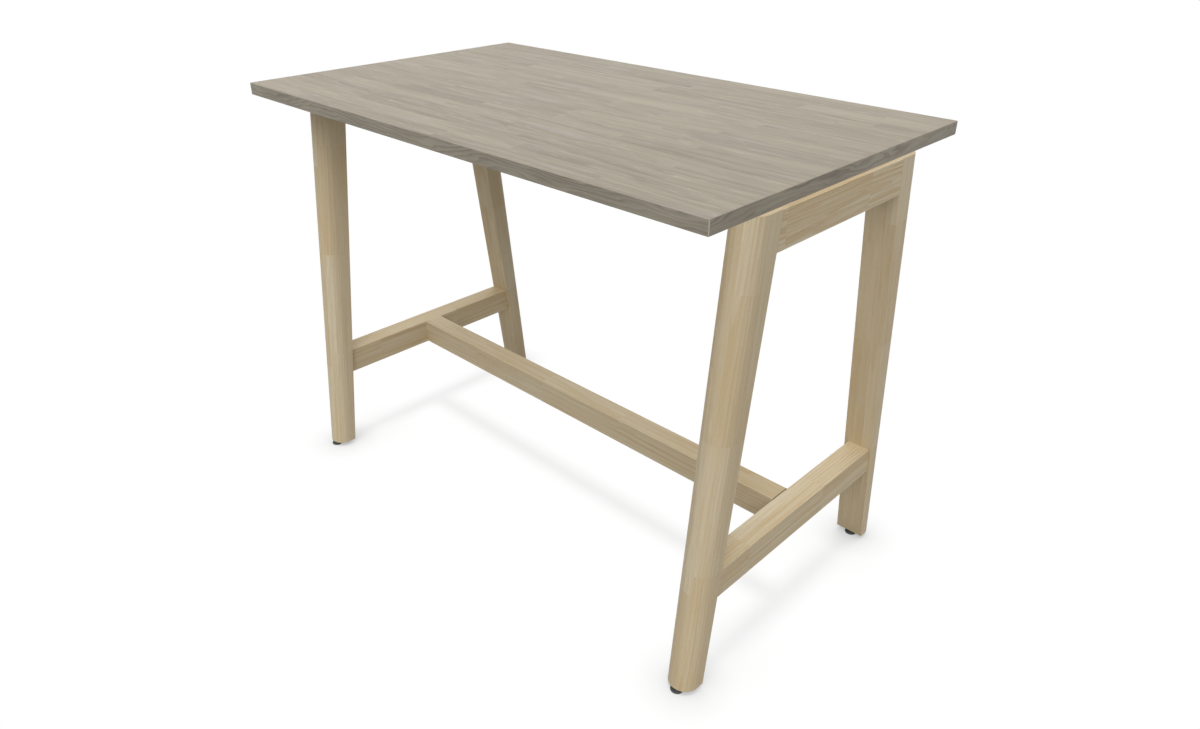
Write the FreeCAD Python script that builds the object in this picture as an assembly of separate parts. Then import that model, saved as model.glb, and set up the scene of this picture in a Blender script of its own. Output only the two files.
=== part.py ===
import FreeCAD, Part
import os
from math import cos, pi, radians, sin, tan

# High table in solid timber: a stave-built top on two leaning leg frames, tied by one long stretcher.
# Millimetres, +Z up. The origin is on the floor below the middle of the top, X runs along the top,
# and the front is towards -Y.

V = FreeCAD.Vector
UP = V(0, 0, 1)

# Tabletop
TABLE_HEIGHT = 1050.0
TOP_LENGTH = 1400.0
TOP_DEPTH = 823.0
TOP_THICK = 28.0
TOP_ARRIS = 1.0

# Legs: a flat face towards the other leg of the frame, and a half-round face away from it
FRAME_INSET = 5.5           # from the end of the top to the outer faces of the legs
LEG_SPREAD = 405.0          # between the flat faces of a frame's two legs, at the top of the frame
LEG_LEAN = 7.0              # degrees that the flat face leans outwards going down
LEG_WIDTH = 70.0
LEG_DEPTH_TOP = 76.0
LEG_DEPTH_FOOT = 52.5
TIMBER_ARRIS = 0.8          # small bevel along every edge of the frame's timber

# Top rails and the battens that carry the top clear of the frames
RAIL_THICK = 45.0
RAIL_HEIGHT = 75.0
RAIL_TENON_THICK = 15.0
RAIL_TENON_HEIGHT = 50.0
RAIL_TENON_LENGTH = 38.0
BATTEN_THICK = 9.0
BATTEN_WIDTH = 30.0
BATTEN_INSET = 11.0         # from the frame's outer face to the batten
BATTEN_END_MARGIN = 20.0    # from the round front of the leg to the end of the batten

# Stretchers
STRETCHER_TOP = 293.0       # height of the upper faces above the floor
CROSS_WIDTH = 55.0
CROSS_HEIGHT = 68.0
CROSS_INSET = 4.5           # from the legs' outer faces to the cross stretcher's outer face
CROSS_TENON_THICK = 18.0
CROSS_TENON_HEIGHT = 45.0
CROSS_TENON_LENGTH = 32.0
LONG_WIDTH = 55.0
LONG_HEIGHT = 66.0
STUB_THICK = 25.0           # stub tenon of the long stretcher, which the stud passes through
STUB_HEIGHT = 40.0
STUB_LENGTH = 10.0
TENON_PLAY = 0.1            # room for glue on each side of a tenon
TENON_END_PLAY = 1.0        # room for glue past the end of a tenon

# Connector bolts that hold the top: up through the rail and the batten into inserts in the top
BOLT_SPACING = 280.0
BOLT_RADIUS = 3.0
BOLT_HEAD_RADIUS = 8.5
BOLT_HEAD_HEIGHT = 2.5
BOLT_SOCKET_FLATS = 4.0
BOLT_SOCKET_DEPTH = 3.0
BOLT_HOLE_RADIUS = 4.5      # wide, so that the top can swell and shrink with the seasons
BOLT_TIP_SHORT = 1.5        # from the bolt's tip to the end of its insert
TOP_INSERT_RADIUS = 5.0
TOP_INSERT_LENGTH = 16.0
THREAD_FIT = 0.05           # radial room in every thread

# Bolted joint between the long stretcher and each cross stretcher, reached from below
STUD_RADIUS = 4.0
STUD_IN_CROSS = 30.0        # length screwed into the cross stretcher, past the stub mortise
STUD_TIP_ROOM = 1.0
STUD_PAST_NUT = 4.0
STUD_HOLE_PLAY = 0.5
POCKET_FROM_END = 32.0      # timber that the nut pulls up against the cross stretcher
POCKET_LENGTH = 50.0
POCKET_WIDTH = 26.0
POCKET_ABOVE_STUD = 12.5
PLATE_WIDTH = 24.0
PLATE_HEIGHT = 22.0
PLATE_THICK = 3.0
NUT_FLATS = 13.0
NUT_THICK = 6.5
COVER_THICK = 5.0           # slip of timber that closes the pocket, flush with the underside
COVER_PLAY = 0.1

# Levelling feet
FOOT_BEHIND_FRONT = 11.0    # from the frontmost surface of the leg's end to the axis of the foot
BASE_RADIUS = 14.5
BASE_THICK = 5.0
SOCKET_DEPTH = 3.0
SPIGOT_RADIUS = 2.5
STEM_RADIUS = 4.0
STEM_LENGTH = 30.0
HEX_FLATS = 13.0
HEX_HEIGHT = 5.0
FOOT_PLAY = 0.1             # room between the pieces of a foot, and above its hexagon
RUNNING_FIT = 0.05          # radial room where the stem turns
FOOT_INSERT_RADIUS = 5.5
FOOT_INSERT_LENGTH = 20.0
STEM_END_PLAY = 2.0         # room above the stem when its foot is screwed home

# One overrun for every cut that runs out of its piece
OVERRUN = 5.0

# Places worked out from the sizes
SIDES = {"left": -1, "right": 1}
ENDS = {"front": -1, "back": 1}
TOP_UNDERSIDE = TABLE_HEIGHT - TOP_THICK
FRAME_TOP = TOP_UNDERSIDE - BATTEN_THICK
HEX_BOTTOM = BASE_THICK + FOOT_PLAY
LEG_BOTTOM = HEX_BOTTOM + HEX_HEIGHT + FOOT_PLAY
FRAME_OUT = TOP_LENGTH / 2 - FRAME_INSET
LEG_X = FRAME_OUT - LEG_WIDTH / 2
RAIL_X = FRAME_OUT - RAIL_THICK / 2
RAIL_BOTTOM = FRAME_TOP - RAIL_HEIGHT
RAIL_MIDDLE = FRAME_TOP - RAIL_HEIGHT / 2
BATTEN_X = FRAME_OUT - BATTEN_INSET - BATTEN_WIDTH / 2
CROSS_X = FRAME_OUT - CROSS_INSET - CROSS_WIDTH / 2
CROSS_INNER_FACE = CROSS_X - CROSS_WIDTH / 2
CROSS_MIDDLE = STRETCHER_TOP - CROSS_HEIGHT / 2
LONG_UNDERSIDE = STRETCHER_TOP - LONG_HEIGHT
LONG_MIDDLE = STRETCHER_TOP - LONG_HEIGHT / 2
STUB_END = CROSS_INNER_FACE + STUB_LENGTH
STUD_TIP = STUB_END + TENON_END_PLAY + STUD_IN_CROSS
POCKET_FACE = CROSS_INNER_FACE - POCKET_FROM_END
NUT_SEAT = POCKET_FACE - PLATE_THICK


def inner_y(z):
    """Distance from the table's middle to the flat face of a leg at height z."""
    return LEG_SPREAD / 2 + (FRAME_TOP - z) * tan(radians(LEG_LEAN))


def leg_depth(z):
    """Depth of a leg at height z: it tapers evenly towards the floor."""
    share = (z - LEG_BOTTOM) / (FRAME_TOP - LEG_BOTTOM)
    return LEG_DEPTH_FOOT + share * (LEG_DEPTH_TOP - LEG_DEPTH_FOOT)


def foot_y(end):
    """Y of a foot's axis: the same distance behind the frontmost surface of either leg."""
    depth_ahead = leg_depth(LEG_BOTTOM) if end < 0 else 0
    return end * (inner_y(LEG_BOTTOM) + depth_ahead) + FOOT_BEHIND_FRONT


# Basic shapes
def block(x0, x1, y0, y1, z0, z1):
    """Box between two corners, given in either order along each axis."""
    low = V(min(x0, x1), min(y0, y1), min(z0, z1))
    return Part.makeBox(abs(x1 - x0), abs(y1 - y0), abs(z1 - z0), low)


def rod(start, direction, radius, length):
    return Part.makeCylinder(radius, length, start, direction)


def polygon_face(points):
    return Part.Face(Part.makePolygon(points + [points[0]]))


def hexagon(start, direction, flats, height):
    """Hexagonal prism along a row axis; flats is the size across its flats."""
    across = UP if direction.x else V(1, 0, 0)
    aside = direction.cross(across)
    reach = flats / (2 * cos(pi / 6))
    turns = [corner * pi / 3 for corner in range(6)]
    corners = [start + across * (reach * cos(turn)) + aside * (reach * sin(turn)) for turn in turns]
    return polygon_face(corners).extrude(direction * height)


def tube(start, direction, radius, bore, length):
    return rod(start, direction, radius, length).cut(rod(start, direction, bore, length))


def bevelled(u0, u1, v0, v1, arris):
    """Corners of a rectangle with its four edges bevelled."""
    return [(u0 + arris, v0), (u1 - arris, v0), (u1, v0 + arris), (u1, v1 - arris),
            (u1 - arris, v1), (u0 + arris, v1), (u0, v1 - arris), (u0, v0 + arris)]


def bar_between_legs(middle_x, middle_z, width, height, beyond, arris=0):
    """Bar along Y, centred on (X, Z), that ends at the leaning faces of the legs or beyond them."""
    x0, x1 = middle_x - width / 2, middle_x + width / 2
    z0, z1 = middle_z - height / 2, middle_z + height / 2
    reach = inner_y(z0) + beyond + OVERRUN
    bar = polygon_face([V(x, -reach, z) for x, z in bevelled(x0, x1, z0, z1, arris)] if arris else
                       [V(x, -reach, z) for x, z in ((x0, z0), (x1, z0), (x1, z1), (x0, z1))])
    bar = bar.extrude(V(0, 2 * reach, 0))
    low, high = inner_y(z0) + beyond, inner_y(z1) + beyond
    room = polygon_face([V(x0, y, z) for y, z in ((-low, z0), (low, z0), (high, z1), (-high, z1))])
    return bar.common(room.extrude(V(width, 0, 0)))


# Joints of the frames: each tenon and its mortise come from the same sizes
def rail_tenon(side, play=0, end_play=0):
    return bar_between_legs(side * RAIL_X, RAIL_MIDDLE, RAIL_TENON_THICK + 2 * play,
                            RAIL_TENON_HEIGHT + 2 * play, RAIL_TENON_LENGTH + end_play)


def cross_tenon(side, play=0, end_play=0):
    return bar_between_legs(side * CROSS_X, CROSS_MIDDLE, CROSS_TENON_THICK + 2 * play,
                            CROSS_TENON_HEIGHT + 2 * play, CROSS_TENON_LENGTH + end_play)


def stub_tenon(play=0, end_play=0):
    """Bar through the long stretcher whose ends stand out as stub tenons."""
    reach = STUB_END + end_play
    half_width = STUB_THICK / 2 + play
    half_height = STUB_HEIGHT / 2 + play
    low, high = LONG_MIDDLE - half_height, LONG_MIDDLE + half_height
    return block(-reach, reach, -half_width, half_width, low, high)


def bolt_places(side):
    return [V(side * RAIL_X, y, RAIL_BOTTOM) for y in (-BOLT_SPACING / 2, BOLT_SPACING / 2)]


def insert_place(place):
    """Mouth of the insert in the underside of the top, above a bolt."""
    return V(place.x, place.y, TOP_UNDERSIDE)


def foot_place(side, end):
    return V(side * LEG_X, foot_y(end), LEG_BOTTOM)


# Tabletop
def tabletop():
    """Stave-built board with bevelled edges and blind holes for the inserts."""
    half_length, half_depth = TOP_LENGTH / 2, TOP_DEPTH / 2
    board = block(-half_length, half_length, -half_depth, half_depth, TOP_UNDERSIDE, TABLE_HEIGHT)
    board = board.makeChamfer(TOP_ARRIS, board.Edges)
    for side in SIDES.values():
        for place in bolt_places(side):
            board = board.cut(rod(insert_place(place), UP, TOP_INSERT_RADIUS, TOP_INSERT_LENGTH))
    return board


# Legs
def leg_wire(side, end, z, inset):
    """Outline of a leg at height z: flat face, two straight sides and a half-round front."""
    radius = LEG_WIDTH / 2 - inset
    flat = inner_y(z) + inset
    turn = inner_y(z) + leg_depth(z) - LEG_WIDTH / 2
    x0, x1 = LEG_X - radius, LEG_X + radius
    outline = [(x1, turn), (x1, flat + TIMBER_ARRIS), (x1 - TIMBER_ARRIS, flat),
               (x0 + TIMBER_ARRIS, flat), (x0, flat + TIMBER_ARRIS), (x0, turn)]
    points = [V(side * x, end * y, z) for x, y in outline]
    front = V(side * LEG_X, end * (turn + radius), z)
    edges = [Part.LineSegment(a, b).toShape() for a, b in zip(points[:-1], points[1:])]
    edges.append(Part.Arc(points[-1], front, points[0]).toShape())
    return Part.Wire(edges)


def leg(side, end):
    """Leaning, tapering leg with its two mortises and the bore for its foot."""
    wires = [leg_wire(side, end, LEG_BOTTOM, TIMBER_ARRIS),
             leg_wire(side, end, LEG_BOTTOM + TIMBER_ARRIS, 0),
             leg_wire(side, end, FRAME_TOP, 0)]
    timber = Part.makeLoft(wires, True, True)
    for tenon in (rail_tenon, cross_tenon):
        timber = timber.cut(tenon(side, TENON_PLAY, TENON_END_PLAY))
    return timber.cut(rod(foot_place(side, end), UP, FOOT_INSERT_RADIUS, STEM_LENGTH + STEM_END_PLAY))


# Rails, battens and stretchers
def top_rail(side):
    """Rail flush with the legs' outer faces, with a tenon at each end and through holes for the bolts."""
    rail = bar_between_legs(side * RAIL_X, RAIL_MIDDLE, RAIL_THICK, RAIL_HEIGHT, 0, TIMBER_ARRIS)
    rail = rail.fuse(rail_tenon(side))
    for place in bolt_places(side):
        rail = rail.cut(rod(place, UP, BOLT_HOLE_RADIUS, RAIL_HEIGHT))
    return rail


def top_batten(side):
    """Batten along the top of a frame: it makes the shadow gap and spreads the load."""
    reach = inner_y(FRAME_TOP) + LEG_DEPTH_TOP - BATTEN_END_MARGIN
    x = side * BATTEN_X
    batten = block(x - BATTEN_WIDTH / 2, x + BATTEN_WIDTH / 2, -reach, reach, FRAME_TOP, TOP_UNDERSIDE)
    for place in bolt_places(side):
        batten = batten.cut(rod(V(place.x, place.y, FRAME_TOP), UP, BOLT_HOLE_RADIUS, BATTEN_THICK))
    return batten


def cross_stretcher(side):
    """Foot rail between the two legs of a frame, mortised and bored for the long stretcher's joint."""
    bar = bar_between_legs(side * CROSS_X, CROSS_MIDDLE, CROSS_WIDTH, CROSS_HEIGHT, 0, TIMBER_ARRIS)
    bar = bar.fuse(cross_tenon(side)).cut(stub_tenon(TENON_PLAY, TENON_END_PLAY))
    mouth = V(side * STUB_END, 0, LONG_MIDDLE)
    depth = STUD_TIP + STUD_TIP_ROOM - STUB_END
    return bar.cut(rod(mouth, V(side, 0, 0), STUD_RADIUS + THREAD_FIT, depth))


def pocket_block(side, play, low, high):
    """Block over the plan of a nut pocket, smaller by the play all round."""
    half_width = POCKET_WIDTH / 2 - play
    outer, inner = POCKET_FACE - play, POCKET_FACE - POCKET_LENGTH + play
    return block(side * inner, side * outer, -half_width, half_width, low, high)


def long_stretcher():
    """Foot rail along the table: at each end a stub tenon, a nut pocket below and a hole for the stud."""
    profile = bevelled(-LONG_WIDTH / 2, LONG_WIDTH / 2, LONG_UNDERSIDE, STRETCHER_TOP, TIMBER_ARRIS)
    face = polygon_face([V(-CROSS_INNER_FACE, y, z) for y, z in profile])
    bar = face.extrude(V(2 * CROSS_INNER_FACE, 0, 0)).fuse(stub_tenon())
    for side in SIDES.values():
        bar = bar.cut(pocket_block(side, 0, LONG_UNDERSIDE - OVERRUN, LONG_MIDDLE + POCKET_ABOVE_STUD))
        mouth = V(side * POCKET_FACE, 0, LONG_MIDDLE)
        bar = bar.cut(rod(mouth, V(side, 0, 0), STUD_RADIUS + STUD_HOLE_PLAY, STUB_END - POCKET_FACE))
    return bar


# Fastenings of the top
def top_bolt(place):
    """Connector bolt with a wide flat head against the underside of the rail, and a hexagon socket."""
    head = place - V(0, 0, BOLT_HEAD_HEIGHT)
    tip = TOP_UNDERSIDE + TOP_INSERT_LENGTH - BOLT_TIP_SHORT
    bolt = rod(head, UP, BOLT_HEAD_RADIUS, BOLT_HEAD_HEIGHT).fuse(rod(place, UP, BOLT_RADIUS, tip - place.z))
    return bolt.cut(hexagon(head, UP, BOLT_SOCKET_FLATS, BOLT_SOCKET_DEPTH))


def top_insert(place):
    return tube(insert_place(place), UP, TOP_INSERT_RADIUS, BOLT_RADIUS + THREAD_FIT, TOP_INSERT_LENGTH)


# Bolted joint of the long stretcher
def joint_stud(side):
    """Stud with a wood thread in the cross stretcher and a machine thread for the nut."""
    inner_end = NUT_SEAT - NUT_THICK - STUD_PAST_NUT
    start = V(side * inner_end, 0, LONG_MIDDLE)
    return rod(start, V(side, 0, 0), STUD_RADIUS, STUD_TIP - inner_end)


def joint_washer(side):
    """Plate washer that spreads the nut's pull over the end of the pocket."""
    half_width, half_height = PLATE_WIDTH / 2, PLATE_HEIGHT / 2
    low, high = LONG_MIDDLE - half_height, LONG_MIDDLE + half_height
    plate = block(side * NUT_SEAT, side * POCKET_FACE, -half_width, half_width, low, high)
    start = V(side * NUT_SEAT, 0, LONG_MIDDLE)
    return plate.cut(rod(start, V(side, 0, 0), STUD_RADIUS + STUD_HOLE_PLAY, PLATE_THICK))


def joint_nut(side):
    seat = V(side * NUT_SEAT, 0, LONG_MIDDLE)
    nut = hexagon(seat, V(-side, 0, 0), NUT_FLATS, NUT_THICK)
    return nut.cut(rod(seat, V(-side, 0, 0), STUD_RADIUS + THREAD_FIT, NUT_THICK))


def pocket_cover(side):
    """Slip of timber pressed into the mouth of the pocket."""
    return pocket_block(side, COVER_PLAY, LONG_UNDERSIDE, LONG_UNDERSIDE + COVER_THICK)


# Levelling feet
def foot_insert(side, end):
    """Threaded steel insert, flush with the end of the leg."""
    return tube(foot_place(side, end), UP, FOOT_INSERT_RADIUS, STEM_RADIUS + RUNNING_FIT, FOOT_INSERT_LENGTH)


def foot_base(side, end):
    """Round plastic glide with a socket in which the stem's spigot turns."""
    axis = V(side * LEG_X, foot_y(end), 0)
    floor = V(axis.x, axis.y, BASE_THICK - SOCKET_DEPTH)
    disc = rod(axis, UP, BASE_RADIUS, BASE_THICK)
    return disc.cut(rod(floor, UP, SPIGOT_RADIUS + RUNNING_FIT, SOCKET_DEPTH))


def foot_stem(side, end):
    """Steel stem: spigot in the glide, hexagon for the spanner, and the threaded shank in the leg."""
    axis = V(side * LEG_X, foot_y(end), 0)
    spigot_low = V(axis.x, axis.y, BASE_THICK - SOCKET_DEPTH + FOOT_PLAY)
    hex_low = V(axis.x, axis.y, HEX_BOTTOM)
    hex_top = V(axis.x, axis.y, HEX_BOTTOM + HEX_HEIGHT)
    stem = hexagon(hex_low, UP, HEX_FLATS, HEX_HEIGHT).fuse(rod(hex_top, UP, STEM_RADIUS, STEM_LENGTH))
    return stem.fuse(rod(spigot_low, UP, SPIGOT_RADIUS, HEX_BOTTOM - spigot_low.z))


# Every piece by its name; identical fasteners share a name
def all_pieces():
    pieces = {
        "tabletop": [tabletop()],
        "long_stretcher": [long_stretcher()],
        "joint_studs": [joint_stud(side) for side in SIDES.values()],
        "joint_washers": [joint_washer(side) for side in SIDES.values()],
        "joint_nuts": [joint_nut(side) for side in SIDES.values()],
        "pocket_covers": [pocket_cover(side) for side in SIDES.values()],
    }
    for side_name, side in SIDES.items():
        pieces["top_rail_" + side_name] = [top_rail(side)]
        pieces["top_batten_" + side_name] = [top_batten(side)]
        pieces["cross_stretcher_" + side_name] = [cross_stretcher(side)]
        pieces["top_bolts_" + side_name] = [top_bolt(place) for place in bolt_places(side)]
        pieces["top_inserts_" + side_name] = [top_insert(place) for place in bolt_places(side)]
        pieces["foot_inserts_" + side_name] = [foot_insert(side, end) for end in ENDS.values()]
        for end_name, end in ENDS.items():
            corner = end_name + "_" + side_name
            pieces["leg_" + corner] = [leg(side, end)]
            pieces["foot_base_" + corner] = [foot_base(side, end)]
            pieces["foot_stem_" + corner] = [foot_stem(side, end)]
    return pieces


os.makedirs("parts", exist_ok=True)
for name, solids in all_pieces().items():
    shape = solids[0] if len(solids) == 1 else Part.makeCompound(solids)
    shape.exportStep("parts/" + name + ".step")
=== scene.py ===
from math import cos, pi, radians, sin

import bpy
import numpy as np
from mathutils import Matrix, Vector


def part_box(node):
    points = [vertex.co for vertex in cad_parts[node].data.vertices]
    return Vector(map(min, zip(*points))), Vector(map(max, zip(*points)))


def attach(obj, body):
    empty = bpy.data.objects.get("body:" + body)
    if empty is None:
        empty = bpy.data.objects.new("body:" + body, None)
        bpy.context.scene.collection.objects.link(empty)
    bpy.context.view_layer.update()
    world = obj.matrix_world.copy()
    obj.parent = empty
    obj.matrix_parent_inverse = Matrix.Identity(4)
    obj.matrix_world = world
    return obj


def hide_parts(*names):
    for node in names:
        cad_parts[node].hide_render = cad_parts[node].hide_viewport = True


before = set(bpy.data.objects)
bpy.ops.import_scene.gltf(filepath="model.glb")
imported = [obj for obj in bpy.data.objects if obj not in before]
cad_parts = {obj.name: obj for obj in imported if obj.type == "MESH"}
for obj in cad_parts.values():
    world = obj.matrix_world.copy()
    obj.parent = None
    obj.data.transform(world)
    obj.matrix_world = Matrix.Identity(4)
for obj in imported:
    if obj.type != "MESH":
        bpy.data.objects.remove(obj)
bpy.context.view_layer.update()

MM = 0.001
CORNERS = [(end, side) for side in ("left", "right") for end in ("front", "back")]
SIDES = [("left", -1.0), ("right", 1.0)]


# Node trees

class Bench:
    """A node tree under work, with one short call for each kind of node."""

    def __init__(self, tree):
        self.tree = tree

    def put(self, socket, value):
        """Sets a socket to a value, or links another node's socket to it."""
        if isinstance(value, bpy.types.NodeSocket):
            self.tree.links.new(value, socket)
        else:
            socket.default_value = value

    def add(self, kind, inputs=(), **settings):
        """One node of a kind, with its settings and its named inputs."""
        made = self.tree.nodes.new(kind)
        for name, value in settings.items():
            setattr(made, name, value)
        for name, value in dict(inputs).items():
            self.put(made.inputs[name], value)
        return made

    def calc(self, operation, *values):
        """A number worked out from one, two or three others."""
        made = self.add("ShaderNodeMath", operation=operation)
        for socket, value in zip(made.inputs, values):
            self.put(socket, value)
        return made.outputs[0]

    def total(self, *values):
        """The sum of any number of numbers."""
        summed = values[0]
        for value in values[1:]:
            summed = self.calc("ADD", summed, value)
        return summed

    def about(self, value, middle, amount):
        """(value - middle) * amount: a value made to swing about nought."""
        return self.calc("MULTIPLY", self.calc("SUBTRACT", value, middle), amount)

    def weigh(self, base, grain, **weights):
        """A base plus each named part of the grain, less its neutral value and times its weight."""
        swings = [self.about(grain[part], NEUTRAL[part], weight) for part, weight in weights.items()]
        return self.total(base, *swings)

    def vector(self, operation, *values):
        """A vector worked out from others, or their dot product."""
        made = self.add("ShaderNodeVectorMath", operation=operation)
        for socket, value in zip(made.inputs, values):
            self.put(socket, value)
        return made.outputs["Value" if operation == "DOT_PRODUCT" else "Vector"]

    def split(self, value):
        """The three numbers of a vector."""
        return self.add("ShaderNodeSeparateXYZ", {"Vector": value}).outputs

    def join(self, x, y, z):
        """A vector of three numbers."""
        return self.add("ShaderNodeCombineXYZ", {"X": x, "Y": y, "Z": z}).outputs[0]

    def span(self, value, low, high, start=0.0, end=1.0, kind="SMOOTHSTEP"):
        """Start up to low, end from high on, and an S-shaped or even rise between. Low may be the higher."""
        made = self.add("ShaderNodeMapRange", {"Value": value, "From Min": low, "From Max": high,
                                               "To Min": start, "To Max": end}, interpolation_type=kind)
        return made.outputs["Result"]

    def even(self, value, start=0.0, end=1.0):
        """Start for nought and less, end for one and more, and an even rise between."""
        return self.span(value, 0.0, 1.0, start, end, "LINEAR")

    def mix(self, factor, first, second, kind="RGBA"):
        """The first where the factor is nought, the second where it is one."""
        made = self.add("ShaderNodeMix", {"Factor": factor}, data_type=kind)
        one, other, out = {"FLOAT": (2, 3, 0), "VECTOR": (4, 5, 1), "RGBA": (6, 7, 2)}[kind]
        self.put(made.inputs[one], first)
        self.put(made.inputs[other], second)
        return made.outputs[out]

    def stain(self, colour, mask, amount, other):
        """A colour taken towards another one by a mask times an amount."""
        return self.mix(self.calc("MULTIPLY", mask, amount), colour, other)

    def veil(self, factor, first, second):
        """The first shader where the factor is nought, the second where it is one."""
        made = self.add("ShaderNodeMixShader", {"Fac": factor})
        self.put(made.inputs[1], first)
        self.put(made.inputs[2], second)
        return made.outputs[0]

    def noise(self, point, scales=None, detail=2.0, rough=0.5):
        """Smooth random field, 0.5 on average, with one feature to a unit or as many as the scales say."""
        spot = self.vector("MULTIPLY", point, scales) if scales else point
        made = self.add("ShaderNodeTexNoise", {"Vector": spot, "Scale": 1.0, "Detail": detail,
                                               "Roughness": rough})
        return made.outputs["Fac"]

    def chance(self, value):
        """A random number from 0 to 1 for each value."""
        return self.add("ShaderNodeTexWhiteNoise", {"W": value}, noise_dimensions="1D").outputs["Value"]

    def facing(self):
        """The direction that the surface faces."""
        return self.add("ShaderNodeNewGeometry").outputs["Normal"]

    def filled(self, tree, named):
        """The results of a group node with its inputs set."""
        made = self.add("ShaderNodeGroup", node_tree=tree)
        for name, value in named.items():
            self.put(made.inputs[name], value)
        return made.outputs


def bench_of(owner):
    """A bench on the emptied node tree of a material or a world."""
    owner.use_nodes = True
    owner.node_tree.nodes.clear()
    return Bench(owner.node_tree)


def group(name, takes, gives):
    """An empty node group with named sockets: its bench, what it takes and where its results go."""
    tree = bpy.data.node_groups.new(name, "ShaderNodeTree")
    for label in takes:
        kind = "NodeSocketVector" if label == "Point" else "NodeSocketFloat"
        tree.interface.new_socket(label, in_out="INPUT", socket_type=kind)
    for label in gives:
        tree.interface.new_socket(label, in_out="OUTPUT", socket_type="NodeSocketFloat")
    bench = Bench(tree)
    given = bench.add("NodeGroupInput").outputs
    results = bench.add("NodeGroupOutput").inputs
    return bench, given, results


# Groups for timber. Their points are (along, across, deep) in millimetres, along the grain first.

# The value of each part of the grain at which it changes nothing
NEUTRAL = {"Rings": 0.3, "Streaks": 0.5, "Lines": 0.15, "Fibres": 0.5, "Pores": 0.0, "Cloud": 0.5}
MEAN = 0.5                  # the average of a noise or a chance
SEED_STRIDE = 371.0         # how far apart in the noises two blocks lie
PITH_NEAR = 18.0            # the pith is at least so deep
PITH_RANGE = 60.0           # and at most so much deeper
PITH_ASIDE = 70.0           # the width over which it lies to one side or the other
PITH_SLOPE = 0.05           # the range of its slope to the member
SWEEP, WAVER = 4.0, 1.2     # how far the long and the short noise push the rings, for a wander of 1
DARKENS = 0.15, 0.88        # the stretch of a ring over which it darkens
ENDS = 1.0, 0.93            # and the one over which it ends, from its far side
FAINTEST_RING = 0.35
LINE_EDGE = 0.56, 0.70      # the rise of a noise over which a line or a pore comes out of the timber round it
PORE_EDGE = 0.62, 0.72


def timber_figure():
    """Growth rings and fibres round a wandering pith line.

    The distance to the pith, plus a long and a short noise, is cut into rings. Each ring darkens slowly, ends
    at once and has a strength of its own. The other results are noises drawn out along the grain.
    """
    bench, given, results = group(
        "timber_figure", ["Point", "Seed", "Ring width", "Wander", "Figure size", "Push"], list(NEUTRAL))
    along, across, deep = bench.split(given["Point"])
    place = bench.calc("MULTIPLY", given["Seed"], SEED_STRIDE)
    slope, aside, depth = (bench.chance(bench.calc("ADD", place, shift)) for shift in (1.0, 2.0, 3.0))

    def drawn_out(length, width, shift, detail, rough=0.5):
        """Noise with features of about this length along the grain and this width over it."""
        far = bench.calc("ADD", place, shift)
        spot = bench.join(bench.calc("ADD", bench.calc("DIVIDE", along, length), far),
                          bench.calc("ADD", bench.calc("DIVIDE", across, width), far),
                          bench.calc("DIVIDE", deep, width))
        return bench.noise(spot, detail=detail, rough=rough)

    def sized(length):
        """A length times the size of the figure."""
        return bench.calc("MULTIPLY", given["Figure size"], length)

    sweep = bench.about(drawn_out(sized(900.0), sized(90.0), shift=3.0, detail=1.0), MEAN, SWEEP)
    waver = bench.about(drawn_out(sized(210.0), sized(24.0), shift=17.0, detail=2.0), MEAN, WAVER)
    lean = bench.calc("MULTIPLY", bench.about(slope, MEAN, PITH_SLOPE), along)
    side = bench.total(across, bench.about(aside, MEAN, PITH_ASIDE), lean)
    below = bench.total(deep, bench.calc("MULTIPLY", depth, PITH_RANGE), PITH_NEAR)
    squares = bench.calc("ADD", bench.calc("MULTIPLY", side, side), bench.calc("MULTIPLY", below, below))
    reach = bench.total(bench.calc("SQRT", squares), bench.calc("MULTIPLY", sweep, given["Wander"]),
                        bench.calc("MULTIPLY", waver, given["Wander"]), given["Push"])
    count = bench.calc("DIVIDE", reach, given["Ring width"])
    through = bench.calc("FRACT", count)
    year = bench.chance(bench.calc("ADD", bench.calc("FLOOR", count), place))
    dark = bench.calc("MULTIPLY", bench.span(through, *DARKENS), bench.span(through, *ENDS))
    lines = drawn_out(length=150.0, width=2.4, shift=41.0, detail=2.0)
    pores = drawn_out(length=9.0, width=0.35, shift=67.0, detail=1.0)
    bench.put(results["Rings"], bench.calc("MULTIPLY", dark, bench.even(year, FAINTEST_RING)))
    bench.put(results["Streaks"], drawn_out(length=300.0, width=6.0, shift=29.0, detail=3.0, rough=0.6))
    bench.put(results["Lines"], bench.span(lines, *LINE_EDGE))
    bench.put(results["Fibres"], drawn_out(length=30.0, width=0.6, shift=53.0, detail=2.0, rough=0.6))
    bench.put(results["Pores"], bench.span(pores, *PORE_EDGE))
    bench.put(results["Cloud"], drawn_out(length=420.0, width=55.0, shift=83.0, detail=2.0))
    return bench.tree


JOINT_CORE, JOINT_REACH = 0.2, 0.5


def glued_joint():
    """One more butt joint across a member: it adds one to the count of blocks beyond it, and a thin line.

    The line is whole as far as its core from the joint, and gone at its reach. Here is one on the strip that
    the joint crosses, and nought beside it.
    """
    bench, given, results = group(
        "glued_joint", ["Along", "Joint", "Here", "Blocks", "Line"], ["Blocks", "Line"])
    past = bench.calc("MULTIPLY", bench.calc("GREATER_THAN", given["Along"], given["Joint"]), given["Here"])
    bench.put(results["Blocks"], bench.calc("ADD", given["Blocks"], past))
    gap = bench.calc("ABSOLUTE", bench.calc("SUBTRACT", given["Along"], given["Joint"]))
    mark = bench.calc("MULTIPLY", bench.span(gap, JOINT_REACH, JOINT_CORE), given["Here"])
    bench.put(results["Line"], bench.calc("MAXIMUM", given["Line"], mark))
    return bench.tree


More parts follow.
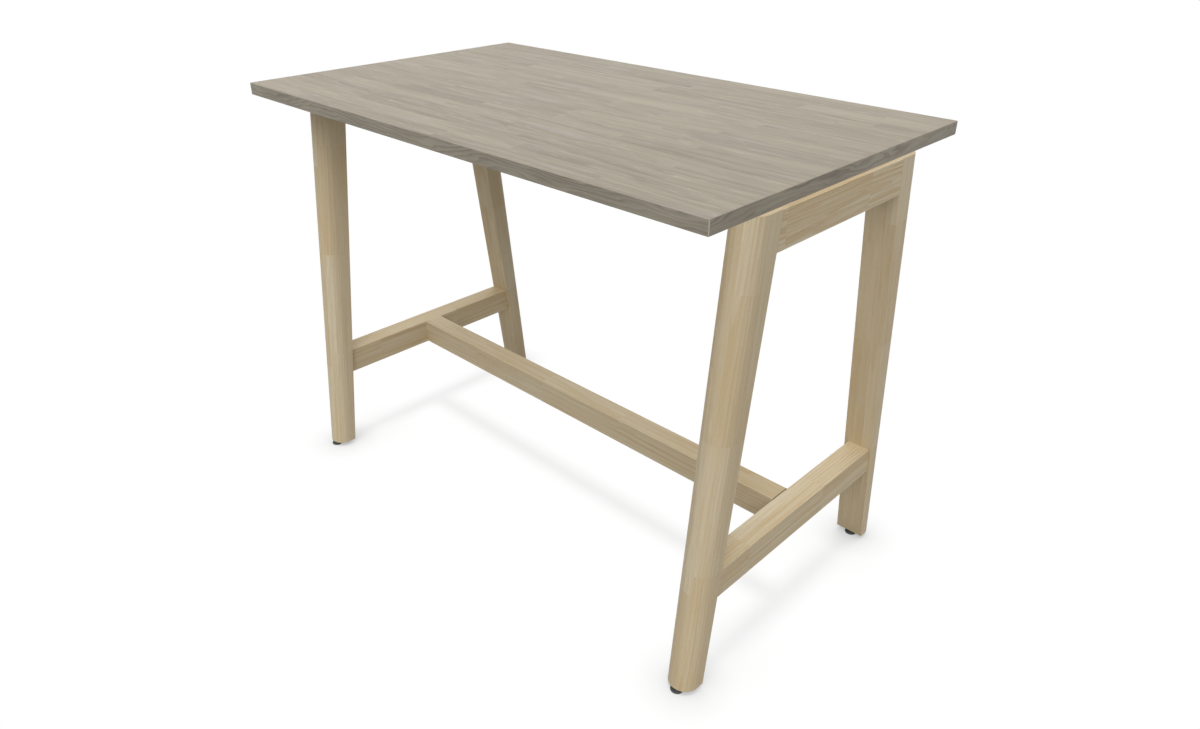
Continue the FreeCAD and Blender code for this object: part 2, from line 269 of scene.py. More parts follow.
ROW_STRIDE = 7.0            # rows lie so many staves apart in the random cuts
ROW_SHIFT = 83.0            # and each is shifted by up to so many more
UNEVENNESS = 0.75
END_CORE, END_REACH = 0.15, 0.45
SEAM_CORE, SEAM_REACH = 0.1, 0.3


def stave_rows():
    """Rows of staves, each row cut to uneven lengths: a random number for each stave, and its glue line.

    The row is the whole part of across / width. Along a row, points jittered on a line part it into cells.
    The glue line is whole as far as its core from a stave's end or side, and gone at its reach.
    """
    bench, given, results = group("stave_rows", ["Point", "Width", "Length", "Seed"], ["Stave", "Line"])
    along, across, _ = bench.split(given["Point"])
    count = bench.calc("ADD", bench.calc("DIVIDE", across, given["Width"]), given["Seed"])
    row = bench.calc("FLOOR", count)
    shift = bench.calc("MULTIPLY", bench.chance(row), ROW_SHIFT)
    run = bench.total(bench.calc("DIVIDE", along, given["Length"]), shift,
                      bench.calc("MULTIPLY", row, ROW_STRIDE))
    cuts = {"W": run, "Scale": 1.0, "Randomness": UNEVENNESS}
    cell = bench.add("ShaderNodeTexVoronoi", cuts, voronoi_dimensions="1D")
    edge = bench.add("ShaderNodeTexVoronoi", cuts, voronoi_dimensions="1D", feature="DISTANCE_TO_EDGE")
    bench.put(results["Stave"], bench.split(cell.outputs["Color"])[0])
    to_end = bench.calc("MULTIPLY", edge.outputs["Distance"], given["Length"])
    from_middle = bench.calc("ABSOLUTE", bench.calc("SUBTRACT", bench.calc("FRACT", count), 0.5))
    to_side = bench.calc("MULTIPLY", bench.calc("SUBTRACT", 0.5, from_middle), given["Width"])
    bench.put(results["Line"], bench.calc("MAXIMUM", bench.span(to_end, END_REACH, END_CORE),
                                          bench.span(to_side, SEAM_REACH, SEAM_CORE)))
    return bench.tree


KNOT_SQUASH = 0.55
KNOT_CORE, KNOT_EDGE, BEND_REACH = 0.5, 1.0, 5.0


def pin_knots():
    """Sparse small knots, drawn out along the grain: the knot itself, and how far it bends the rings near it.

    Both go by the distance to the nearest of some scattered points, in knot sizes: the knot ends between its
    core and its edge, and the bend is a bell that falls to nought at its reach.
    """
    bench, given, results = group("pin_knots", ["Point", "Spacing", "Size", "Seed"], ["Knot", "Bend"])
    point = bench.split(given["Point"])
    along, across, deep = (bench.calc("DIVIDE", value, given["Spacing"]) for value in point)
    along = bench.calc("ADD", bench.calc("MULTIPLY", along, KNOT_SQUASH), given["Seed"])
    spot = bench.join(along, across, deep)
    near = bench.add("ShaderNodeTexVoronoi", {"Vector": spot, "Scale": 1.0, "Randomness": 1.0})
    away = bench.calc("MULTIPLY", near.outputs["Distance"], given["Spacing"])
    sizes = bench.calc("DIVIDE", away, given["Size"])
    bench.put(results["Knot"], bench.span(sizes, KNOT_EDGE, KNOT_CORE))
    bench.put(results["Bend"], bench.span(sizes, BEND_REACH, 0.0))
    return bench.tree


FLAT_SHARE, BEVEL_SHARE = 0.93, 0.85
DOWNWARD = -0.2


def bevel_highlight():
    """Marks the bevels that don't face down, where a highlight is painted, for a point that is the direction
    the surface faces.

    The largest of that direction's three parts is over the flat share on a face along an axis, and under the
    bevel share on a bevel.
    """
    bench, given, results = group("bevel_highlight", ["Point"], ["Bevel"])
    x, y, z = bench.split(bench.vector("ABSOLUTE", given["Point"]))
    widest = bench.calc("MAXIMUM", bench.calc("MAXIMUM", x, y), z)
    not_down = bench.calc("GREATER_THAN", bench.split(given["Point"])[2], DOWNWARD)
    bench.put(results["Bevel"], bench.calc("MULTIPLY", bench.span(widest, FLAT_SHARE, BEVEL_SHARE), not_down))
    return bench.tree


FIGURE = timber_figure()
JOINT = glued_joint()
STAVES = stave_rows()
KNOTS = pin_knots()
HIGHLIGHT_MASK = bevel_highlight()


# What all materials share

def linear(red, green, blue):
    """A colour as a screen shows it, 0 to 255, as the light it stands for: ((c + 0.055) / 1.055) ** 2.4."""
    screen = np.array([red, green, blue]) / 255
    return (*(((screen + 0.055) / 1.055) ** 2.4), 1.0)


def finish_of(name):
    """A new material: the bench of its nodes and the inputs of its one shader."""
    made = bpy.data.materials.new(name)
    bench = bench_of(made)
    shader = bench.add("ShaderNodeBsdfPrincipled")
    bench.add("ShaderNodeOutputMaterial", {"Surface": shader.outputs[0]})
    return made, bench, shader.inputs


def position(bench):
    """The point on the object, in millimetres."""
    spot = bench.add("ShaderNodeTexCoord").outputs["Object"]
    return bench.vector("MULTIPLY", spot, (1 / MM, 1 / MM, 1 / MM))


def surfaced(bench, surface, colour, rough, height, strength, deep):
    """Gives the shader its colour, its roughness and a bump of a strength and a depth."""
    bump = bench.add("ShaderNodeBump", {"Height": height, "Strength": strength, "Distance": deep * MM})
    for name, value in (("Base Color", colour), ("Roughness", rough), ("Normal", bump.outputs["Normal"])):
        bench.put(surface[name], value)


def dress(node, material):
    """Gives a CAD node a better material."""
    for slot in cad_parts[node].material_slots:
        slot.material = material


# Timber of the frame

PALE = linear(219, 209, 184)
TAN = linear(194, 170, 128)
HONEY = linear(206, 178, 132)
DARK_LINE = linear(138, 112, 76)
AMBER = linear(192, 154, 108)
# The colour of the painted highlight on the frame's bevels
ARRIS_HIGHLIGHT = linear(236, 222, 192)
GAP_SHADE = linear(92, 84, 64)
WOOD_GLOSS = 0.3
GAP_CORE, GAP_REACH = 1.0, 1.5
OTHER_STRIP = 10.0          # the blocks of the second strip are counted from here
TINT_SHIFT = 0.37
BLOCK_TONES, BLOCK_TINTS = 0.24, 0.08
MOST_HONEY = 0.5
KNOT_PUSH = 4.0             # how far a knot pushes the rings aside

# How strongly each mark stains the timber; the gap's mark is painted shade, not a stain
LINE_STAIN, PORE_STAIN, KNOT_STAIN, JOINT_STAIN, GAP_SHADE_STRENGTH = 0.30, 0.30, 0.6, 0.08, 0.85

# Where the grain of the members starts: how far to the side and how high, in metres
LEG_MIDDLE = 0.6595
RAIL_MIDDLE, RAIL_LEVEL = 0.672, 0.976
BATTEN_LEVEL = 1.0175
CROSS_MIDDLE, CROSS_LEVEL = 0.6625, 0.259
LONG_LEVEL = 0.26
COVER_LEVEL = 0.25
LEG_GRAIN_LEAN = radians(6.34)

# The glued joints of each member: the distance along it in millimetres, and the strip that the joint crosses
LEG_JOINTS = [(215.0, -1), (262.0, 1), (554.0, 0), (790.0, -1), (843.0, 1)]
LEG_STRIP = 10.0
RAIL_JOINTS = [(-190.0, 0), (88.0, 0)]
CROSS_JOINTS = [(-190.0, 0), (90.0, 0)]
BATTEN_JOINTS = [(-60.0, 0)]
LONG_JOINTS = [(-390.0, 0), (-110.0, 0), (170.0, 0), (450.0, 0)]
LONG_SHOULDER = 633.8

# Directions along, across and deep into a member
X, Y, Z = (1.0, 0.0, 0.0), (0.0, 1.0, 0.0), (0.0, 0.0, 1.0)
CROSSWISE = (Y, Z, X)
LENGTHWISE = (X, Y, Z)


def frame_timber(name, ways, start, joints, seed, strip=0.0, figure=1.0, ring=7.5, wander=4.0, honey=0.30,
                 painted_shade=0.0, edge_highlight=0.0, shoulder=None):
    """Oiled ash for one member: blocks glued end to end, each with its own figure along the member.

    The point on the member is its distance from the start along three ways. Every joint is a distance along
    and the side it is on: -1 or 1 for the strip on one side of the line at the distance strip across, 0 for
    both. Figure is how strong the rings and lines are, ring how wide one is, and wander how far they waver.
    Honey is how golden the timber is. Painted shade darkens it all, for the shade of the top over it, and
    edge highlight paints a highlight on its bevels. Shoulder is the distance along at which a dark line of
    painted shade, for a gap, crosses it.
    """
    made, bench, surface = finish_of(name)
    spot = bench.vector("SUBTRACT", position(bench), tuple(value / MM for value in start))
    along, across, deep = (bench.vector("DOT_PRODUCT", spot, way) for way in ways)
    point = bench.join(along, across, deep)
    beyond = bench.calc("GREATER_THAN", across, strip)
    sides = {0: 1.0, 1: beyond, -1: bench.calc("SUBTRACT", 1.0, beyond)}
    blocks = bench.calc("MULTIPLY", beyond, OTHER_STRIP if any(side for _, side in joints) else 0.0)
    line = 0.0
    for place, side in joints:
        step = bench.filled(JOINT, {"Along": along, "Joint": place, "Here": sides[side],
                                    "Blocks": blocks, "Line": line})
        blocks, line = step["Blocks"], step["Line"]
    block = bench.chance(bench.calc("ADD", blocks, seed))
    tint = bench.chance(bench.calc("ADD", blocks, seed + TINT_SHIFT))
    knots = bench.filled(KNOTS, {"Point": point, "Spacing": 320.0, "Size": 1.6, "Seed": seed})
    grain = bench.filled(FIGURE, {
        "Point": point, "Seed": block, "Ring width": ring, "Wander": wander, "Figure size": 0.9,
        "Push": bench.calc("MULTIPLY", knots["Bend"], KNOT_PUSH)})

    depth = bench.weigh(0.46, grain, Rings=0.28 * figure, Streaks=0.62, Cloud=0.40, Fibres=0.45)
    depth = bench.total(depth, bench.about(block, MEAN, BLOCK_TONES))
    warm = bench.weigh(honey, grain, Cloud=0.7, Streaks=0.85)
    warm = bench.total(warm, bench.about(tint, MEAN, BLOCK_TINTS))
    colour = bench.mix(bench.even(depth), PALE, TAN)
    colour = bench.mix(bench.even(warm, end=MOST_HONEY), colour, HONEY)
    colour = bench.stain(colour, grain["Lines"], LINE_STAIN * figure, AMBER)
    colour = bench.stain(colour, grain["Pores"], PORE_STAIN, DARK_LINE)
    colour = bench.stain(colour, knots["Knot"], KNOT_STAIN, DARK_LINE)
    colour = bench.stain(colour, line, JOINT_STAIN, DARK_LINE)
    # Painted shade: the whole member darkened, for the shade that the top casts on it
    colour = bench.mix(painted_shade, colour, GAP_SHADE)
    # Painted shade of a gap: a dark line across the member at the shoulder
    if shoulder:
        off = bench.calc("ABSOLUTE", bench.calc("SUBTRACT", along, shoulder))
        colour = bench.stain(colour, bench.span(off, GAP_REACH, GAP_CORE), GAP_SHADE_STRENGTH, GAP_SHADE)
    # Painted highlight on the bevels that don't face down
    colour = bench.stain(colour, bench.filled(HIGHLIGHT_MASK, {"Point": bench.facing()})["Bevel"], edge_highlight, ARRIS_HIGHLIGHT)

    surface["Specular IOR Level"].default_value = WOOD_GLOSS
    rough = bench.weigh(0.56, grain, Streaks=0.16, Pores=0.15)
    height = bench.weigh(bench.calc("MULTIPLY", line, -0.8), grain, Fibres=0.5, Rings=0.5, Pores=-0.8)
    surfaced(bench, surface, colour, rough, height, strength=0.25, deep=0.12)
    return made


def dress_frame():
    """A material for each member, whose grain runs along it."""
    for end, side in CORNERS:
        to_right, to_back = dict(SIDES)[side], 1.0 if end == "back" else -1.0
        along = (0.0, -to_back * sin(LEG_GRAIN_LEAN), cos(LEG_GRAIN_LEAN))
        deep = (0.0, to_back * cos(LEG_GRAIN_LEAN), sin(LEG_GRAIN_LEAN))
        leg = "leg_" + end + "_" + side
        dress(leg, frame_timber(leg + "_ash", (along, X, deep), (to_right * LEG_MIDDLE, 0.0, 0.0), LEG_JOINTS,
                                seed=4.0 + to_right + 2.0 * to_back, strip=LEG_STRIP,
                                figure=1.05, ring=6.5, wander=7.0))
    for side, to_right in SIDES:
        dress("top_rail_" + side, frame_timber(
            "rail_ash_" + side, CROSSWISE, (to_right * RAIL_MIDDLE, 0.0, RAIL_LEVEL), RAIL_JOINTS,
            seed=11.0 + to_right, figure=2.6, ring=5.0, wander=9.0, edge_highlight=0.25))
        dress("cross_stretcher_" + side, frame_timber(
            "cross_ash_" + side, CROSSWISE, (to_right * CROSS_MIDDLE, 0.0, CROSS_LEVEL), CROSS_JOINTS,
            seed=14.0 + to_right, figure=1.6, honey=0.14, edge_highlight=0.4))
        dress("top_batten_" + side, frame_timber(
            "batten_ash_" + side, CROSSWISE, (to_right * RAIL_MIDDLE, 0.0, BATTEN_LEVEL), BATTEN_JOINTS,
            seed=17.0 + to_right))
    # The long stretcher gets a painted shade all over, and a painted shade of the gap at its shoulder
    dress("long_stretcher", frame_timber(
        "long_ash", LENGTHWISE, (0.0, 0.0, LONG_LEVEL), LONG_JOINTS,
        seed=21.0, figure=1.8, painted_shade=0.09, edge_highlight=0.5, shoulder=LONG_SHOULDER))
    dress("pocket_covers", frame_timber("cover_ash", LENGTHWISE, (0.0, 0.0, COVER_LEVEL), [], seed=23.0))


# Stained board of the top

TOP_PALE = linear(171, 162, 144)
TOP_GREY = linear(136, 127, 112)
TOP_ROSE = linear(168, 154, 148)
TOP_DARK = linear(96, 86, 72)
TOP_FLECK = linear(186, 179, 160)
# The colour of the painted highlight on the top's bevels
TOP_ARRIS_HIGHLIGHT = linear(222, 212, 196)
EDGE_PALE = linear(168, 160, 144)
EDGE_DARK = linear(112, 104, 92)
SQUARE_ON = 0.72            # a surface is an edge where so much of its direction is along X or Y
STAVE_WIDTH, STAVE_LENGTH, STAVE_SEED = 43.0, 430.0, 40.43
STAVE_TONES = 0.26
EDGE_SHORTENED = 2.2        # the figure of the edges is so much shorter
EDGE_SEED = 0.61
BAND_SCALES = (0.0036, 0.040, 0.040)
FLECK_SCALES = (0.016, 0.16, 0.16)
TOP_KNOT_PUSH, TOP_KNOT_STAIN, SEAM_STAIN = 6.0, 0.75, 0.16

# Stains that go by a noise, and a painted highlight that goes by how far a surface faces up: where one starts
# and is whole, least and most
BAND_STAIN = (0.58, 0.72, 0.0, 0.75)
FLECK_STAIN = (0.60, 0.70, 0.0, 0.55)
ARRIS_HIGHLIGHT_SPAN = (0.6, 0.3, 0.12, 0.55)


def stained_board():
    """Grey-stained staves along the top, and a darker stain with a flowing figure on the edges.

    The face's direction picks the grain: along X on the wide faces and long edges, along Y on the end edges.
    Rosy bands and pale flecks lie over the staves, and a painted highlight makes the upright arrises lighter
    than the flat ones.
    """
    made, bench, surface = finish_of("stained_staves")
    point = position(bench)
    x, y, z = bench.split(point)
    facing = bench.facing()
    out_x, out_y, out_z = bench.split(bench.vector("ABSOLUTE", facing))
    on_end, on_long = (bench.calc("GREATER_THAN", out, SQUARE_ON) for out in (out_x, out_y))
    on_edge = bench.calc("MAXIMUM", on_end, on_long)
    staves = bench.filled(STAVES, {"Point": point, "Width": STAVE_WIDTH, "Length": STAVE_LENGTH,
                                   "Seed": STAVE_SEED})
    for here, along, inward in ((on_long, x, y), (on_end, y, x)):
        short = bench.join(bench.calc("MULTIPLY", along, EDGE_SHORTENED), z, inward)
        point = bench.mix(here, point, short, "VECTOR")
    knots = bench.filled(KNOTS, {"Point": point, "Spacing": 120.0, "Size": 2.2, "Seed": 5.0})

    def either(face, edge):
        """One value on the wide faces, and another on the edges."""
        return bench.mix(on_edge, face, edge, "FLOAT")

    grain = bench.filled(FIGURE, {
        "Point": point, "Seed": either(staves["Stave"], EDGE_SEED), "Ring width": either(8.0, 10.0),
        "Wander": either(9.0, 30.0), "Figure size": either(0.7, 1.0),
        "Push": bench.calc("MULTIPLY", knots["Bend"], TOP_KNOT_PUSH)})

    depth = bench.weigh(0.47, grain, Rings=0.36, Streaks=0.75, Cloud=0.9, Fibres=0.35, Lines=-0.25)
    depth = bench.total(depth, bench.about(staves["Stave"], MEAN, STAVE_TONES))
    on_face = bench.mix(bench.even(depth), TOP_PALE, TOP_GREY)
    band = bench.noise(point, BAND_SCALES)
    on_face = bench.mix(bench.span(band, *BAND_STAIN), on_face, TOP_ROSE)
    fleck = bench.noise(point, FLECK_SCALES, detail=3.0)
    on_face = bench.mix(bench.span(fleck, *FLECK_STAIN), on_face, TOP_FLECK)
    on_face = bench.stain(on_face, staves["Line"], SEAM_STAIN, TOP_DARK)
    swirl = bench.weigh(0.384, grain, Rings=0.48, Streaks=0.5, Cloud=0.9)
    colour = bench.mix(on_edge, on_face, bench.mix(bench.even(swirl), EDGE_PALE, EDGE_DARK))
    colour = bench.stain(colour, knots["Knot"], TOP_KNOT_STAIN, TOP_DARK)
    bevel = bench.filled(HIGHLIGHT_MASK, {"Point": facing})["Bevel"]
    # Painted highlight on the bevels, strongest on the upright ones
    colour = bench.stain(colour, bevel, bench.span(out_z, *ARRIS_HIGHLIGHT_SPAN), TOP_ARRIS_HIGHLIGHT)

    surface["Specular IOR Level"].default_value = WOOD_GLOSS
    rough = bench.weigh(0.52, grain, Streaks=0.14, Pores=0.15)
    height = bench.weigh(bench.calc("MULTIPLY", staves["Line"], -0.6), grain,
                         Fibres=0.5, Rings=0.4, Pores=-0.8)
    surfaced(bench, surface, colour, rough, height, strength=0.2, deep=0.12)
    return made


# Metal and plastic

BRIGHT_ZINC = linear(206, 206, 204), linear(176, 177, 178)
DARK_ZINC = linear(66, 68, 72), linear(46, 48, 52)
NYLON = linear(58, 58, 59), linear(80, 80, 80)
CLOUD_SCALES = (0.35, 0.35, 0.35)
TURNING_SCALES = (0.8, 0.8, 9.0)
SPARK_SCALES = (3.2, 3.2, 3.2)
DUST_SCALES = (0.2, 0.2, 0.2)


def plated_steel(name, tones, rough):
    """Plated steel: clouded plating over fine turning marks."""
    made, bench, surface = finish_of(name)
    spot = position(bench)
    cloud = bench.noise(spot, CLOUD_SCALES, detail=3.0, rough=0.6)
    marks = bench.noise(spot, TURNING_SCALES)
    shade = bench.span(bench.total(cloud, bench.about(marks, MEAN, 0.6)), 0.3, 0.7, kind="LINEAR")
    surface["Metallic"].default_value = 1.0
    rough = bench.total(rough, bench.about(cloud, MEAN, 0.25))
    surfaced(bench, surface, bench.mix(shade, *tones), rough, marks, strength=0.12, deep=0.05)
    return made


def moulded_nylon():
    """Dark nylon with a fine sparked grain, clouded with dust."""
    made, bench, surface = finish_of("moulded_nylon")
    spot = position(bench)
    grain = bench.noise(spot, SPARK_SCALES, rough=0.6)
    dust = bench.noise(spot, DUST_SCALES)
    shade = bench.span(bench.total(dust, bench.about(grain, MEAN, 0.8)), 0.25, 0.75, kind="LINEAR")
    rough = bench.span(grain, 0.2, 0.8, 0.5, 0.68, "LINEAR")
    surfaced(bench, surface, bench.mix(shade, *NYLON), rough, grain, strength=0.3, deep=0.05)
    return made


# Turned pieces of the feet, in metres. The main sizes repeat those of the part's source.

GLIDE_RADIUS = 0.0145
GLIDE_HIGH = 0.005
SOCKET_RADIUS = 0.00255
SOCKET_LOW = 0.002
SPIGOT_RADIUS = 0.0025
SPIGOT_LOW = 0.0021
SPIGOT_CHAMFER = 0.0003
HEXAGON_FLATS = 0.013
HEXAGON_LOW = 0.0051
HEXAGON_HIGH = 0.0101
HEXAGON_GAP = 0.0001        # the spigot ends so far below the hexagon
TURNED_HIGH = 0.0008        # the hexagon's corners are turned off over this height
TURNED_DEEP = 0.0009        # and to this depth
TURNED_ROWS = 5
STEM_TIP = 0.0401
TIP_HIGH = 0.001
TIP_DEEP = 0.0008
THREAD_RADIUS = 0.004
THREAD_PITCH = 0.00125
THREAD_DEEP = 0.00065
THREAD_STARTS = 0.0015      # the thread reaches its full depth over this height above the hexagon
THREAD_ENDS = 0.0004        # and loses it over this height below the tip
FLANK, CREST = 1.3, 0.15
SHARP_EDGE = radians(32)
LEAST_RADIUS = 0.0006       # of the smallest rings, which a fan closes

# Corners of the glide's outline: radius, height and how far the rounding reaches
GLIDE_OUTLINE = [
    (LEAST_RADIUS, 0.0, 0.0), (GLIDE_RADIUS - 0.0008, 0.0, 0.0004), (GLIDE_RADIUS, 0.0009, 0.0006),
    (GLIDE_RADIUS, 0.0026, 0.0009), (0.0122, 0.0042, 0.0018), (0.0084, GLIDE_HIGH, 0.0012),
    (SOCKET_RADIUS + 0.0003, GLIDE_HIGH, 0.0002), (SOCKET_RADIUS, GLIDE_HIGH - 0.0003, 0.0001),
    (SOCKET_RADIUS, SOCKET_LOW, 0.0003), (LEAST_RADIUS, SOCKET_LOW, 0.0)]
ROUNDING_STEPS = 6


def closed_skin(name, x, y, radii, heights, angle):
    """A closed surface over rings about an upright line at x, y.

    Each ring has the points (x + r cos a, y + r sin a, z). Four-sided faces join each ring to the next, and a
    fan joins the first and the last ring to a point on the line.
    """
    rings = np.stack([x + radii * np.cos(angle), y + radii * np.sin(angle), heights + 0 * angle], axis=-1)
    rows, columns, _ = rings.shape
    ids = np.arange(rows * columns).reshape(rows, columns)
    onward = np.roll(ids, -1, axis=1)
    walls = np.stack([ids[:-1], onward[:-1], onward[1:], ids[1:]], axis=-1).reshape(-1, 4)
    first, last = rows * columns, rows * columns + 1
    low = np.stack([np.full(columns, first), onward[0], ids[0]], axis=-1)
    high = np.stack([np.full(columns, last), ids[-1], onward[-1]], axis=-1)
    ends = [(x, y, rings[0, 0, 2]), (x, y, rings[-1, 0, 2])]
    mesh = bpy.data.meshes.new(name)
    points = np.concatenate([rings.reshape(-1, 3), ends])
    mesh.from_pydata(points.tolist(), [], walls.tolist() + low.tolist() + high.tolist())
    mesh.shade_smooth()
    mesh.set_sharp_from_angle(angle=SHARP_EDGE)
    piece = bpy.data.objects.new(name, mesh)
    bpy.context.scene.collection.objects.link(piece)
    return piece


def rounded(corners, steps):
    """A profile with rounded corners: each (radius, height, round) gives a curve of that size, in steps.

    The curve is the parabola that leaves along one side A-B and arrives along the other, B-C:
    (1-t)^2 A + 2t(1-t) B + t^2 C.
    """
    spots = np.array([corner[:2] for corner in corners])
    line = [spots[0]]
    for before, spot, after, corner in zip(spots, spots[1:], spots[2:], corners[1:]):
        size = corner[2]
        near = spot + (before - spot) / np.linalg.norm(before - spot) * size
        past = spot + (after - spot) / np.linalg.norm(after - spot) * size
        t = np.linspace(0, 1, steps)[:, None]
        line.extend((1 - t) ** 2 * near + 2 * t * (1 - t) * spot + t ** 2 * past)
    line.append(spots[-1])
    return np.array(line)


def foot_glide(name, x, y, around=96):
    """Round glide: flat sole, rounded rim, shallow dome, flat seat and the socket of the stem.

    It is the rounded outline, turned about the line at x, y.
    """
    angle = np.linspace(0, 2 * pi, around, endpoint=False)
    profile = rounded(GLIDE_OUTLINE, ROUNDING_STEPS)
    return closed_skin(name, x, y, profile[:, :1], profile[:, 1:], angle)


def foot_stem(name, x, y, around=60, rows_per_turn=12):
    """Stem of a levelling foot: spigot, hexagon with turned corners, and a right-hand thread.

    The hexagon's radius is half its flats over cos(a mod 60 - 30 degrees), cut by a cone at each end. The
    thread's is the outer radius less a groove that deepens and ends once in a pitch of height less angle, and
    fades at both ends. A cone narrows the tip.
    """
    angle = np.linspace(0, 2 * pi, around, endpoint=False)
    spigot = np.full(around, SPIGOT_RADIUS)
    flats = HEXAGON_FLATS / 2 / np.cos(np.mod(angle, pi / 3) - pi / 6)
    corner = HEXAGON_FLATS / 2 / cos(pi / 6)
    shares = np.linspace(0, 1, TURNED_ROWS)
    cone = [np.minimum(flats, corner - TURNED_DEEP + share * TURNED_DEEP) for share in shares]
    radii = [spigot - SPIGOT_CHAMFER, spigot, spigot, *cone, *cone[::-1]]
    levels = [SPIGOT_LOW, SPIGOT_LOW + SPIGOT_CHAMFER, HEXAGON_LOW - HEXAGON_GAP,
              *(HEXAGON_LOW + shares * TURNED_HIGH), *(HEXAGON_HIGH - shares[::-1] * TURNED_HIGH)]
    threaded = STEM_TIP - HEXAGON_HIGH
    heights = np.linspace(0, threaded, int(threaded / THREAD_PITCH * rows_per_turn) + 1)[:, None]
    turn = np.mod(heights / THREAD_PITCH - angle / (2 * pi), 1.0)
    ridge = np.clip(np.abs(turn * 2 - 1) * FLANK - CREST, 0, 1)
    left = threaded - heights
    fade = np.clip(heights / THREAD_STARTS, 0, 1) * np.clip(left / THREAD_ENDS, 0, 1)
    narrowed = 1 - np.clip(left / TIP_HIGH, 0, 1)
    thread = THREAD_RADIUS - THREAD_DEEP * ridge * fade - TIP_DEEP * narrowed
    levels = np.concatenate([levels, HEXAGON_HIGH + heights[:, 0]])
    return closed_skin(name, x, y, np.concatenate([radii, thread]), levels[:, None], angle)


def make_feet():
    """The glide and the stem of each foot, in place of their plain CAD solids."""
    nylon = moulded_nylon()
    steel = plated_steel("dark_zinc", DARK_ZINC, 0.42)
    for end, side in CORNERS:
        corner = end + "_" + side
        low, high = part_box("foot_base_" + corner)
        place = (low[0] + high[0]) / 2, (low[1] + high[1]) / 2
        glide = foot_glide("glide_shell_" + corner, *place)
        glide.data.materials.append(nylon)
        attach(glide, "glide_" + corner)
        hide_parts("foot_base_" + corner)
        stem = foot_stem("threaded_stem_" + corner, *place)
        stem.data.materials.append(steel)
        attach(stem, "stem_" + corner)
        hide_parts("foot_stem_" + corner)


# Floor, light and camera

WHITE = (1.0, 1.0, 1.0, 1.0)
FLOOR_SEEN = (0.8, 0.8, 0.8, 1.0)
FLOOR_BOUNCE = (0.35, 0.35, 0.35, 1.0)
FLOOR_REACH = 20.0
FLOOR_GLOW = 0.82
# Painted shade: within this distance of what stands on it, occlusion dims the floor's glow
CLOSE = 0.09                # the floor is darker within this distance of what stands on it
CLOSE_SAMPLES = 16
UNDER_FEET, IN_THE_OPEN = 0.45, 1.045
SURROUND = 0.18
WIDE, NARROW = 50, 13
# The wide lamps: strength, degrees to the right of the front, degrees above the floor
WIDE_LAMPS = {"key": (0.424, 45, 40), "rear": (0.50, 225, 15), "upper": (0.30, 0, 58)}
OVERHEAD = (0.155, 0, 88)
OVER_FLOOR = (0.85, 0, 89)
OPEN_PARTS = ("top_rail_left", "top_rail_right", "leg_front_right", "leg_back_right", "cross_stretcher_right")
TOP_PARTS = ("tabletop", "top_batten_", "top_bolts_")
LOW_PARTS = ("leg_", "cross_stretcher_", "long_stretcher", "foot_base_")
FILM_WIDTH = 36
FOCAL_LENGTH = 26.377
SIGHT = 100.0               # how far the camera sees, in metres
VIEWPOINT = (1.4328, -1.3990, 1.4848)
TILT, TURN = radians(61.0), radians(44.015)


def seen_white(bench):
    """One for what the camera, a reflection or a clear body sees straight."""
    path = bench.add("ShaderNodeLightPath").outputs
    seen = bench.calc("MAXIMUM", path["Is Camera Ray"], path["Is Glossy Ray"])
    return bench.calc("MAXIMUM", seen, path["Is Transmission Ray"])


def studio_floor():
    """A wide pale floor that keeps soft shadows, has a painted shade close to the feet where occlusion dims
    its glow, and is clear from below.
    """
    made = bpy.data.materials.new("studio_floor")
    bench = bench_of(made)
    seen = seen_white(bench)
    matt = bench.add("ShaderNodeBsdfDiffuse", {"Color": bench.mix(seen, FLOOR_BOUNCE, FLOOR_SEEN)}).outputs[0]
    openness = bench.add("ShaderNodeAmbientOcclusion", {"Distance": CLOSE}, samples=CLOSE_SAMPLES)
    # Painted shade: the glow dims close to what stands on the floor
    bright = bench.even(openness.outputs["AO"], UNDER_FEET, IN_THE_OPEN)
    glow = bench.add("ShaderNodeEmission", {"Color": WHITE, "Strength": bright}).outputs[0]
    above = bench.veil(bench.calc("MULTIPLY", seen, FLOOR_GLOW), matt, glow)
    clear = bench.add("ShaderNodeBsdfTransparent").outputs[0]
    from_below = bench.add("ShaderNodeNewGeometry").outputs["Backfacing"]
    bench.add("ShaderNodeOutputMaterial", {"Surface": bench.veil(from_below, above, clear)})
    mesh = bpy.data.meshes.new("floor")
    corners = [(x * FLOOR_REACH, y * FLOOR_REACH, 0.0) for x, y in ((-1, -1), (1, -1), (1, 1), (-1, 1))]
    mesh.from_pydata(corners, [], [(0, 1, 2, 3)])
    mesh.materials.append(made)
    floor = bpy.data.objects.new("floor", mesh)
    bpy.context.scene.collection.objects.link(floor)
    return floor


def lamp(name, strength, bearing, height, spread):
    """A distant lamp of a strength, so many degrees to the right of the front, above the floor and wide.

    A surface square to it gets pi times its strength, which a white matt surface sends back as that strength.
    The result is where the parts that it lights, and those that shade it, are set.
    """
    light = bpy.data.lights.new(name, "SUN")
    light.energy = pi * strength
    light.angle = radians(spread)
    placed = bpy.data.objects.new(name, light)
    placed.rotation_euler = (radians(90 - height), 0, radians(bearing))
    placed.visible_glossy = False
    bpy.context.scene.collection.objects.link(placed)
    return placed.light_linking


def lit_by(name, parts, keep="INCLUDE"):
    """A collection of parts that a lamp lights, or that shade it, or that it leaves out."""
    made = bpy.data.collections.new(name)
    for part in parts:
        made.objects.link(part)
    for member in made.collection_objects:
        member.light_linking.link_state = keep
    return made


def nodes_of(*starts):
    """The CAD nodes whose names start so."""
    return [part for node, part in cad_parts.items() if node.startswith(starts)]


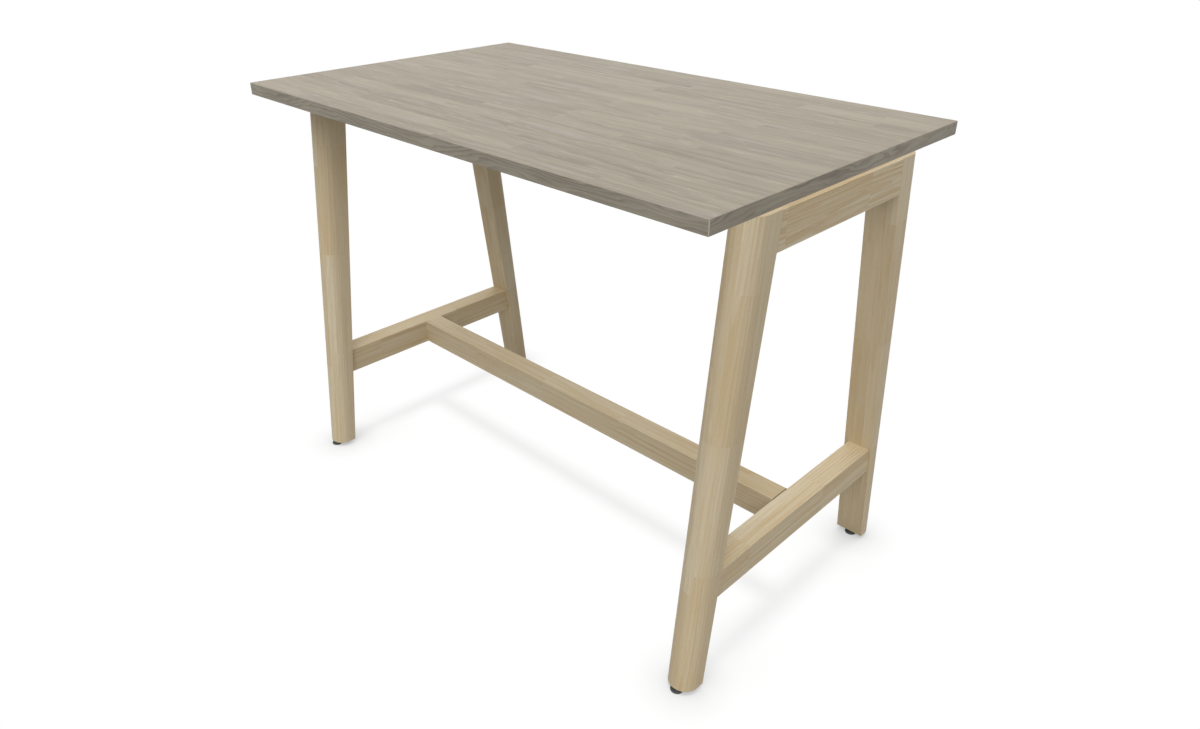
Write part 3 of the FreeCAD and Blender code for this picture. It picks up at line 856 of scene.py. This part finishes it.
def studio_light(floor):
    """A white surround that lights softly, and wide lamps from the camera's side, the left behind and above.

    In the photograph the top doesn't shade the right end frame, so its parts, and the left rail, get lamps of
    their own, alike but not shaded by the top. The floor has its own lamp too, overhead, which only the lower
    members and the feet shade.
    """
    world = bpy.data.worlds.new("studio")
    bench = bench_of(world)
    strength = bench.mix(seen_white(bench), SURROUND, 1.0, "FLOAT")
    back = bench.add("ShaderNodeBackground", {"Color": WHITE, "Strength": strength})
    bench.add("ShaderNodeOutputWorld", {"Surface": back.outputs[0]})
    bpy.context.scene.world = world
    end_frame = nodes_of(*OPEN_PARTS)
    under_the_top = lit_by("under_the_top", end_frame + [floor], "EXCLUDE")
    open_parts = lit_by("end_frame", end_frame)
    no_top = lit_by("no_top", nodes_of(*TOP_PARTS), "EXCLUDE")
    overhead = lamp("overhead", *OVERHEAD, WIDE)
    overhead.receiver_collection = lit_by("not_floor", [floor], "EXCLUDE")
    overhead.blocker_collection = no_top
    for name, place in WIDE_LAMPS.items():
        lamp(name, *place, WIDE).receiver_collection = under_the_top
        for_end_frame = lamp(name + "_end", *place, WIDE)
        for_end_frame.receiver_collection = open_parts
        for_end_frame.blocker_collection = no_top
    over_floor = lamp("floor_lamp", *OVER_FLOOR, NARROW)
    over_floor.receiver_collection = lit_by("floor_only", [floor])
    over_floor.blocker_collection = lit_by("shading", nodes_of(*LOW_PARTS))


def set_camera():
    """The photograph's viewpoint, fitted to the straight edges of the table."""
    lens = bpy.data.cameras.new("camera")
    lens.sensor_width = FILM_WIDTH
    lens.lens = FOCAL_LENGTH
    lens.clip_end = SIGHT
    camera = bpy.data.objects.new("camera", lens)
    camera.location = VIEWPOINT
    camera.rotation_euler = (TILT, 0, TURN)
    bpy.context.scene.collection.objects.link(camera)
    bpy.context.scene.camera = camera


dress_frame()
dress("tabletop", stained_board())
zinc = plated_steel("bright_zinc", BRIGHT_ZINC, 0.34)
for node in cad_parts:
    if node.startswith(("top_bolts", "top_inserts", "foot_inserts", "joint_")):
        dress(node, zinc)
make_feet()
studio_light(studio_floor())
set_camera()
bpy.context.scene.view_settings.view_transform = "Standard"
